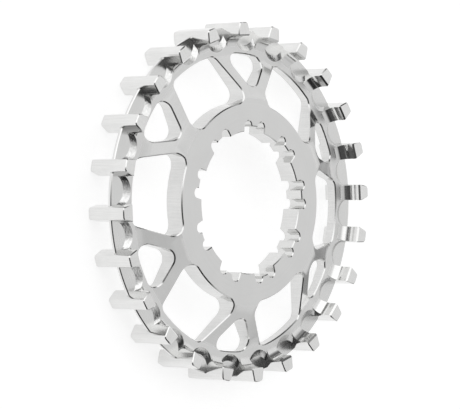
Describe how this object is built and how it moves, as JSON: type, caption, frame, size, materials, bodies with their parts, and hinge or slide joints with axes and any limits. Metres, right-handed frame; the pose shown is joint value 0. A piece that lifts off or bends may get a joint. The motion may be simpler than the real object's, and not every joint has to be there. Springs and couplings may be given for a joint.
{
  "type": "belt drive sprocket",
  "caption": "Toothed disc for a bicycle belt drive: a splined hub, a dished web of forked spokes and a rim of square-ended teeth split by a thin fin.",
  "frame": {"origin": "on the axis, level with the far ends of the teeth, on which the part lies", "axes": "+Z along the axis, towards the hub's raised face; +X through a spoke, a tooth space and a groove of the bore"},
  "size_m": [0.082, 0.082, 0.0112],
  "materials": {
    "steel": "bright, machined, with fine tool lines"
  },
  "bodies": {
    "root": {"belt_sprocket": "steel"}
  },
  "joints": []
}
